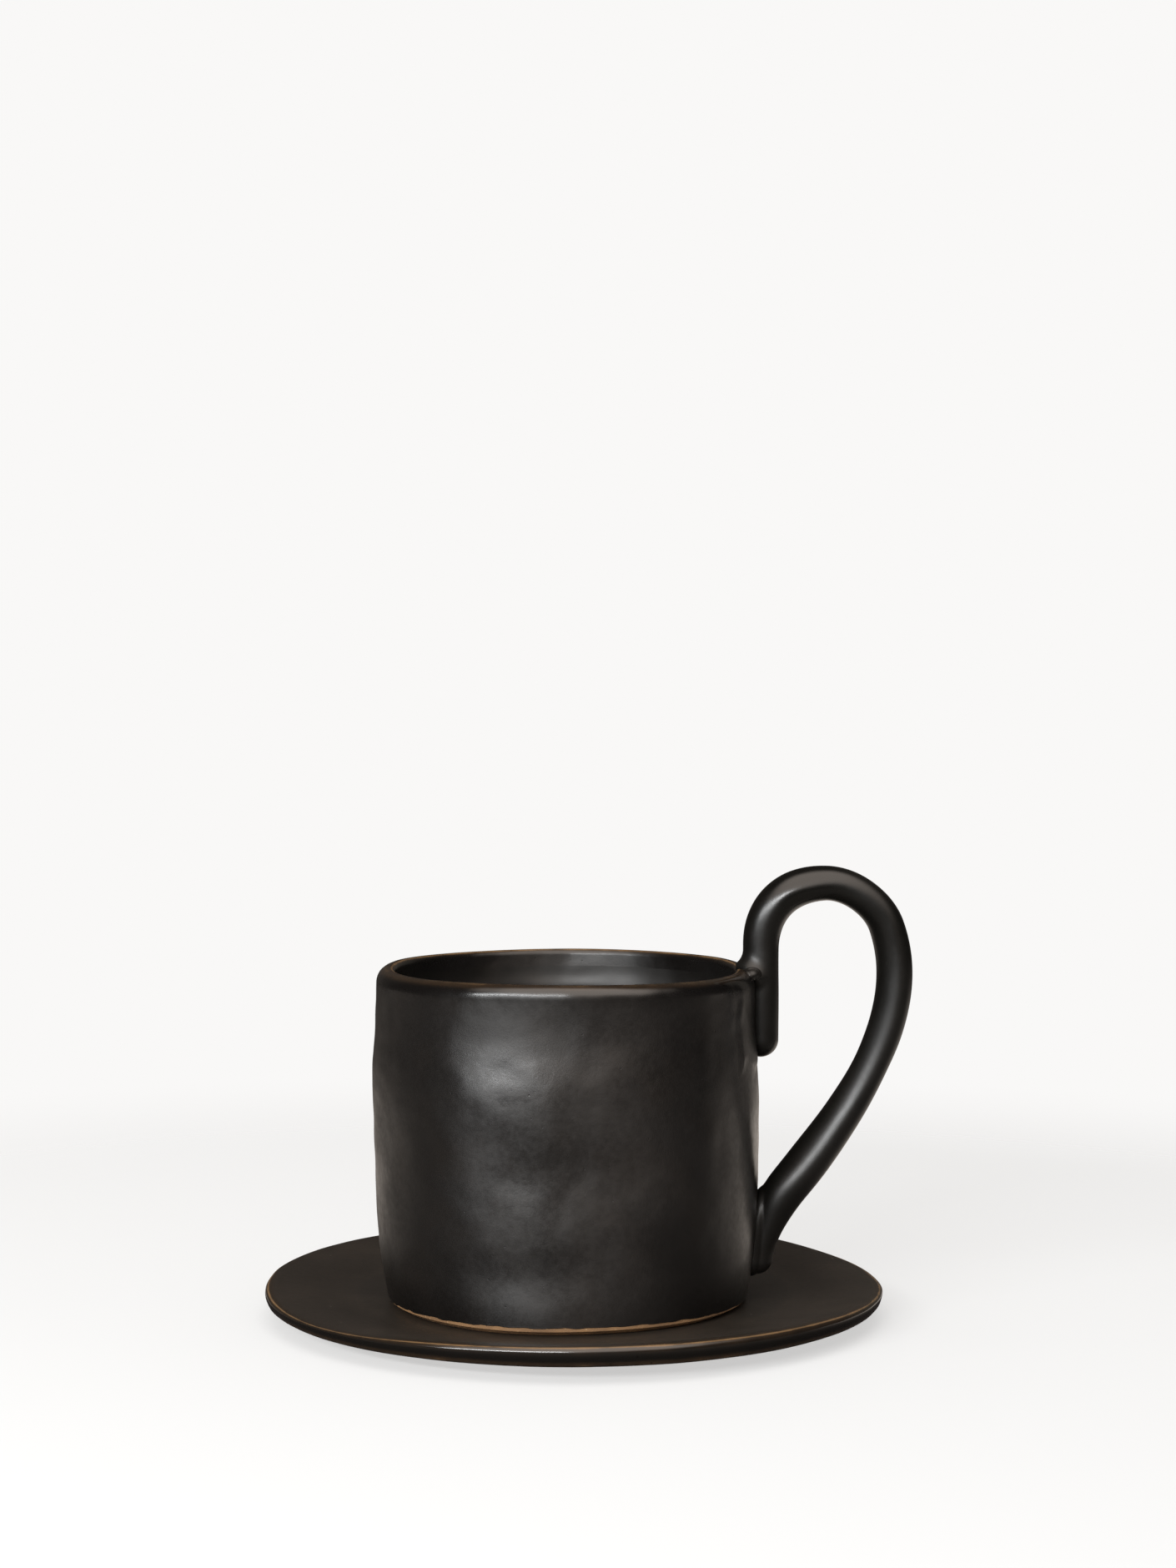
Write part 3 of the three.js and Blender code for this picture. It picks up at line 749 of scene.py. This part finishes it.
def coilTree():
    bench = geometryBench("coilTree", {"Sides": "NodeSocketInt", "Spread": "NodeSocketFloat",
                                       "Uneven": "NodeSocketFloat", "Wall": "NodeSocketObject",
                                       "Finish": "NodeSocketMaterial"})
    path = bench.add("NodeGroupInput", out="Geometry")
    curve = bench.add("GeometryNodeMeshToCurve", {}, {"Mesh": path})
    ring = {"Resolution": path.side("Sides"), "Radius": 1.0}
    ring = bench.add("GeometryNodeCurvePrimitiveCircle", {}, ring)
    thick = stored(bench, "coilRadius")
    tube = bench.add("GeometryNodeCurveToMesh", {}, {"Curve": curve, "Profile Curve": ring, "Scale": thick})
    tube = bench.add("GeometryNodeMergeByDistance", {}, {"Geometry": tube, "Distance": weld})
    spot = bench.add("GeometryNodeInputPosition")
    outward = bench.add("GeometryNodeInputNormal")
    near = distanceTo(bench, path.side("Wall"), spot)
    close = near.smooth(stored(bench, "spreadReach"), 0.0)
    here = stored(bench, "spreadHere")
    wobble = noise(bench, spot, coil["wobbleScale"], 1.0) - 0.5
    # section squared off by the fingers, with one face turned to the front
    square = coil["square"]
    front = dot(bench, outward, coil["facing"]).apply("ABSOLUTE").apply("MINIMUM", 1.0)
    aside = (1.0 - front * front).apply("SQRT")
    fuller = (front.apply("POWER", square) + aside.apply("POWER", square)).apply("POWER", -1.0 / square)
    # and a little oval, its long axis turned from the front towards one side
    slant = dot(bench, outward, coil["ovalSide"]) * dot(bench, outward, coil["ovalFront"])
    oval = (slant * (2.0 * coil["oval"]) - 2.0 * coil["oval"] ** 2) * stored(bench, "ovalHere")
    # slip squeezed out along the joint leaves a thin ridge beside it
    outStart, outFull = (away * mm for away in coil["ridgeOut"])
    inStart, inFull = (away * mm for away in coil["ridgeIn"])
    ridge = near.smooth(outStart, outFull) * near.smooth(inStart, inFull) * (coil["ridge"] * mm)
    push = (ridge + close * close * path.side("Spread")) * here
    push = push + wobble * path.side("Uneven") + (fuller - 1.0 + oval) * thick
    return finishTree(bench, pushOut(bench, tube, outward, push), path.side("Finish"))


path = coilPath()
pathMesh = outlineMesh("coilPath", [(x, z) for x, z, r in path], coilShares(path))
pathMesh.transform(Matrix.Translation(mugCentre))
handleCoil = grow("handleCoil", pathMesh, coilTree(),
                  {"Sides": coil["sides"], "Spread": coil["spread"] * mm,
                   "Uneven": coil["uneven"] * mm, "Wall": glazedCup, "Finish": coilGlaze})
print("handle laid:", len(handleCoil.data.polygons), "faces")


# bead of clay where the coil crosses the rim

bead = {"radius": 1.7, "side": 4.6, "drop": 1.2, "inward": 0.9, "stretch": (1.2, 1.3, 0.85),
        "spread": 0.35, "reach": 0.9, "thin": 0.1, "fineness": 5}


def beadTree():
    bench = geometryBench("beadTree", {"Radius": "NodeSocketFloat", "Centre": "NodeSocketVector",
                                       "Stretch": "NodeSocketVector", "Wall": "NodeSocketObject",
                                       "Coil": "NodeSocketObject", "Finish": "NodeSocketMaterial"})
    given = bench.add("NodeGroupInput", out="Geometry")
    ball = {"Radius": given.side("Radius"), "Subdivisions": bead["fineness"]}
    ball = bench.add("GeometryNodeMeshIcoSphere", {}, ball)
    spot = bench.add("GeometryNodeInputPosition")
    placed = bench.add("ShaderNodeVectorMath", {"operation": "MULTIPLY_ADD"},
                       {0: spot, 1: given.side("Stretch"), 2: given.side("Centre")})
    ball = bench.add("GeometryNodeSetPosition", {}, {"Geometry": ball, "Position": placed})
    near = distanceTo(bench, given.side("Wall"), spot)
    near = near.apply("MINIMUM", distanceTo(bench, given.side("Coil"), spot))
    close = near.smooth(bead["reach"] * mm, 0.0)
    outward = bench.add("GeometryNodeInputNormal")
    ball = pushOut(bench, ball, outward, close * close * (bead["spread"] * mm))
    thin = {"Geometry": ball, "Name": "thin", "Value": bead["thin"]}
    ball = bench.add("GeometryNodeStoreNamedAttribute", {}, thin)
    return finishTree(bench, ball, given.side("Finish"))


beadPlace = ((mug["centre"][0] + mug["rimRadius"] - bead["inward"]) * mm,
             (mug["centre"][1] - bead["side"]) * mm,
             (mug["base"] + mug["height"] - bead["drop"]) * mm)
rimBead = grow("rimBead", bpy.data.meshes.new("beadSeed"), beadTree(),
               {"Radius": bead["radius"] * mm, "Centre": beadPlace, "Stretch": bead["stretch"],
                "Wall": glazedCup, "Coil": handleCoil, "Finish": coilGlaze})
print("bead set")


# pieces and the bodies they ride on

for piece, body, slot, nodes in ((saucerPlate, "saucer", "black_glaze", ["saucer_plate"]),
                                 (saucerFoot, "saucer", "bare_clay", ["saucer_foot"]),
                                 (glazedCup, "mug", "black_glaze", ["cup_wall"]),
                                 (footSlab, "mug", "bare_clay", ["cup_floor"]),
                                 (handleCoil, "mug", "black_glaze", ["handle", "lower_lute"]),
                                 (rimBead, "mug", "black_glaze", ["upper_lute"])):
    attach(piece, body)
    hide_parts(*nodes)


# studio: pale floor and set, a dim room and a lit table for the glaze to show, a soft key lamp and one above

paper = {"colour": linear(222, 221, 220), "radius": 0.9, "sides": 96,
         "clear": 0.6, "fadeFrom": (0.24, 0.42),        # the set shows through, and the edge fades out
         "backdrop": linear(249, 248, 247), "fill": (1.0, 0.99, 0.98, 1.0), "fillPower": 0.6}


def staged(name, corners, faces):
    mesh = bpy.data.meshes.new(name)
    mesh.from_pydata(corners, [], faces)
    made = bpy.data.objects.new(name, mesh)
    bpy.context.collection.objects.link(made)
    return made


def disc(name, height):
    turns = [2.0 * math.pi * i / paper["sides"] for i in range(paper["sides"])]
    corners = [(paper["radius"] * math.cos(turn), paper["radius"] * math.sin(turn), height) for turn in turns]
    return staged(name, corners, [list(range(paper["sides"]))])


def setGlow(bench, colour):
    glow = bench.add("ShaderNodeEmission", {}, {"Color": colour, "Strength": 1.0})
    bench.add("ShaderNodeOutputMaterial", {}, {"Surface": glow})


def floorFinish():
    material, bench, spot = emptyFinish("paperFloor")
    away = bench.add("ShaderNodeVectorMath", {"operation": "LENGTH"}, {0: spot}, "Value")
    matt = bench.add("ShaderNodeBsdfDiffuse", {}, {"Color": paper["colour"]})
    clear = bench.add("ShaderNodeBsdfTransparent")
    fade = paper["clear"] + away.smooth(*paper["fadeFrom"]) * (1.0 - paper["clear"])
    surface = bench.add("ShaderNodeMixShader", {}, {0: fade, 1: matt, 2: clear})
    bench.add("ShaderNodeOutputMaterial", {}, {"Surface": surface})
    return material


floor = disc("paperFloor", 0.0)
floor.data.materials.append(floorFinish())

# dim warm room, seen only in the glaze: walls, sides and lower part, a glow above and two upright strips
flag = {"radius": 2.2, "rings": 24, "sides": 48,
        "wallGlow": (0.044, 0.037, 0.034, 1.0), "sideGlow": (0.03, 0.026, 0.024, 1.0),
        "lowGlow": (0.025, 0.0215, 0.0195, 1.0), "wallFrom": (-0.1, 0.12), "sideFrom": (0.35, 0.75),
        "aboveGlow": (3.8, 3.35, 3.0, 1.0), "aboveRise": 55.0, "aboveAside": 0.05, "aboveFrom": (0.66, 0.92),
        "stripGlow": (0.12, 0.108, 0.092, 1.0), "stripFrom": (0.88, 0.985), "stripSquash": (1.0, 1.0, 0.5),
        "stripRise": 0.1, "strips": ((-150.0, 0.35), (150.0, 1.0))}     # angle and share of each


def flagFinish():
    material, bench, spot = emptyFinish("dimFlags")
    split = bench.add("ShaderNodeSeparateXYZ", {}, {"Vector": spot})
    height = split.side("Z") / flag["radius"]
    aside = split.apply("ABSOLUTE") / flag["radius"]
    colour = mixed(bench, height.smooth(*flag["wallFrom"]), flag["lowGlow"], flag["wallGlow"])
    colour = mixed(bench, aside.smooth(*flag["sideFrom"]), colour, flag["sideGlow"])
    towards = bench.add("ShaderNodeVectorMath", {"operation": "NORMALIZE"}, {0: spot})
    rise = math.radians(flag["aboveRise"])
    above = dot(bench, towards, (flag["aboveAside"], -math.cos(rise), math.sin(rise)))
    colour = mixed(bench, above.smooth(*flag["aboveFrom"]), colour, flag["aboveGlow"])
    tall = bench.add("ShaderNodeVectorMath", {"operation": "MULTIPLY"}, {0: spot, 1: flag["stripSquash"]})
    tall = bench.add("ShaderNodeVectorMath", {"operation": "NORMALIZE"}, {0: tall})
    for degrees, share in flag["strips"]:
        turn = math.radians(degrees)
        strip = dot(bench, tall, (math.sin(turn), -math.cos(turn), flag["stripRise"]))
        colour = mixed(bench, strip.smooth(*flag["stripFrom"]) * share, colour, flag["stripGlow"])
    setGlow(bench, colour)
    return material


def flagCorner(ring, side):
    tilt = math.pi * ring / flag["rings"]
    turn = 2.0 * math.pi * side / flag["sides"]
    level = flag["radius"] * math.sin(tilt)
    return (level * math.cos(turn), level * math.sin(turn), flag["radius"] * math.cos(tilt))


corners = [flagCorner(ring, side) for ring in range(flag["rings"] + 1) for side in range(flag["sides"])]
faces = []
for ring in range(flag["rings"]):
    for side in range(flag["sides"]):
        upper = ring * flag["sides"]
        lower = upper + flag["sides"]
        following = (side + 1) % flag["sides"]
        faces.append((upper + side, upper + following, lower + following, lower + side))
flags = staged("flags", corners, faces)
flags.data.materials.append(flagFinish())

# the table as the glaze shows it: pale behind and beside the saucer, darker to the left and in front, and
# dark close round the saucer, a painted shadow of the saucer on the table
apron = {"lift": 0.0004, "glow": (1.15, 1.02, 0.9, 1.0), "fade": (0.55, 0.3), "shade": (0.08, 0.12),
         "front": 0.13, "frontLeft": 0.14, "frontLeftFrom": (0.2, -0.25), "backFrom": (-0.06, 0.04),
         "behindShare": 0.8, "behindSlope": 0.7, "behindFrom": (-0.06, 0.16),
         "leftShare": 0.35, "rightFrom": (-0.1, 0.1)}


def apronFinish():
    material, bench, spot = emptyFinish("tableApron")
    away = bench.add("ShaderNodeVectorMath", {"operation": "LENGTH"}, {0: spot}, "Value")
    across = bench.add("ShaderNodeSeparateXYZ", {}, {"Vector": spot})
    back = across.side("Y")
    front = apron["front"] + across.smooth(*apron["frontLeftFrom"]) * apron["frontLeft"]
    beside = (across.apply("ABSOLUTE") - back * apron["behindSlope"]).smooth(*apron["behindFrom"])
    beside = apron["behindShare"] + beside * (1.0 - apron["behindShare"])
    right = apron["leftShare"] + across.smooth(*apron["rightFrom"]) * (1.0 - apron["leftShare"])
    lit = back.smooth(*apron["backFrom"]) * beside * right
    # painted shadow: the glow fades out close to the saucer
    near = away.smooth(*apron["fade"]) * (lit + front - lit * front) * away.smooth(*apron["shade"])
    setGlow(bench, mixed(bench, near, flag["wallGlow"], apron["glow"]))
    return material


table = disc("tableApron", apron["lift"])
table.data.materials.append(apronFinish())
for shade in (flags, table):
    shade.visible_camera = False
    shade.visible_diffuse = False
    shade.visible_shadow = False
    shade.visible_transmission = False

world = bpy.data.worlds.new("set")
world.use_nodes = True
world.node_tree.nodes.clear()
bench = Bench(world.node_tree)
ray = bench.add("ShaderNodeLightPath", out="Is Camera Ray")
shown = (ray + ray.side("Is Glossy Ray") + ray.side("Is Transmission Ray")).apply("MINIMUM", 1.0)
fill = bench.add("ShaderNodeBackground", {}, {"Color": paper["fill"], "Strength": paper["fillPower"]})
backdrop = bench.add("ShaderNodeBackground", {}, {"Color": paper["backdrop"], "Strength": 1.0})
sky = bench.add("ShaderNodeMixShader", {}, {0: shown, 1: fill, 2: backdrop})
bench.add("ShaderNodeOutputWorld", {}, {"Surface": sky})
bpy.context.scene.world = world

keyLamp = {"angle": -27.0, "rise": 20.0, "distance": 0.9, "aim": (0.0, 0.0, 0.05), "size": (0.7, 0.1),
           "power": 9.0, "colour": (0.97, 0.99, 1.0)}
topLamp = {"place": (0.0, -0.15, 1.15), "aim": (0.0, 0.0, 0.0), "size": (1.0, 1.0), "power": 5.2,
           "colour": (1.0, 0.995, 0.985)}


def softLamp(name, place, lamp):
    light = bpy.data.lights.new(name, "AREA")
    light.shape = "RECTANGLE"
    light.size, light.size_y = lamp["size"]
    light.energy = lamp["power"]
    light.color = lamp["colour"]
    held = bpy.data.objects.new(name, light)
    bpy.context.collection.objects.link(held)
    held.location = place
    held.rotation_euler = (Vector(lamp["aim"]) - Vector(place)).to_track_quat("-Z", "Y").to_euler()
    held.visible_camera = False
    return held


turn = math.radians(keyLamp["angle"])
rise = math.radians(keyLamp["rise"])
keyPlace = (keyLamp["distance"] * math.sin(turn) * math.cos(rise),
            -keyLamp["distance"] * math.cos(turn) * math.cos(rise),
            keyLamp["aim"][2] + keyLamp["distance"] * math.sin(rise))
softLamp("keyLamp", keyPlace, keyLamp)
softLamp("topLamp", topLamp["place"], topLamp).visible_glossy = False


# camera at the photograph's angle

view = {"lens": 71.14, "sensor": 36.0, "nearest": 0.02, "place": (0.0034, -0.750, 0.1645), "down": 2.715}

camera = bpy.data.cameras.new("camera")
camera.lens = view["lens"]
camera.sensor_width = view["sensor"]
camera.clip_start = view["nearest"]
holder = bpy.data.objects.new("camera", camera)
holder.location = view["place"]
holder.rotation_euler = (math.radians(90.0 - view["down"]), 0.0, 0.0)
bpy.context.collection.objects.link(holder)
bpy.context.scene.camera = holder
bpy.context.scene.view_settings.view_transform = "Standard"
print("studio lit")
